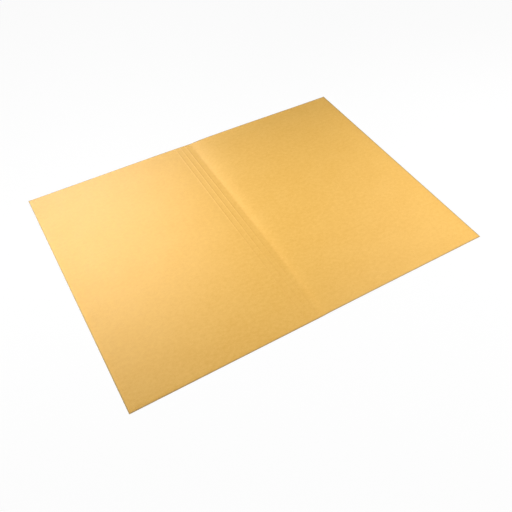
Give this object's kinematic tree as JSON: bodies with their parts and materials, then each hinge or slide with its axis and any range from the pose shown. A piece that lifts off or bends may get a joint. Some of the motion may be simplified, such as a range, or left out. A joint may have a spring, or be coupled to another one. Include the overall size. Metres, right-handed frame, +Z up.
{
  "type": "manila folder",
  "caption": "Square-cut manila board folder lying open and flat, with a main fold between equal leaves and capacity creases beside it that bend to make a wider spine.",
  "frame": {"origin": "middle of the main fold, on the plane that the open folder rests on", "axes": "+X across the folds towards the right leaf, +Y along the main fold, +Z up out of the inside face"},
  "size_m": [0.484, 0.349, 0.0006],
  "materials": {
    "manila_board": "matte",
    "pressed_board": "matte"
  },
  "bodies": {
    "left": {"left_leaf": "manila_board"},
    "strip_3": {"spine_strip_3": "manila_board", "crease_3_bead": "pressed_board"},
    "strip_2": {"spine_strip_2": "manila_board", "crease_2_bead": "pressed_board"},
    "strip_1": {"spine_strip_1": "manila_board", "crease_1_bead": "pressed_board", "main_fold_bead": "pressed_board"},
    "right": {"right_leaf": "manila_board"}
  },
  "joints": [
    {"name": "crease_3_fold", "type": "hinge", "parent": "left", "child": "strip_3", "pos_m": [-0.024, 0, 0.00052], "axis": [0, -1, 0], "range_deg": [0, 10]},
    {"name": "crease_2_fold", "type": "hinge", "parent": "strip_3", "child": "strip_2", "pos_m": [-0.016, 0, 0.00052], "axis": [0, -1, 0], "range_deg": [0, 10]},
    {"name": "crease_1_fold", "type": "hinge", "parent": "strip_2", "child": "strip_1", "pos_m": [-0.008, 0, 0.00052], "axis": [0, -1, 0], "range_deg": [0, 10]},
    {"name": "main_fold", "type": "hinge", "parent": "strip_1", "child": "right", "pos_m": [0, 0, 0.00052], "axis": [0, -1, 0], "range_deg": [0, 150]}
  ]
}
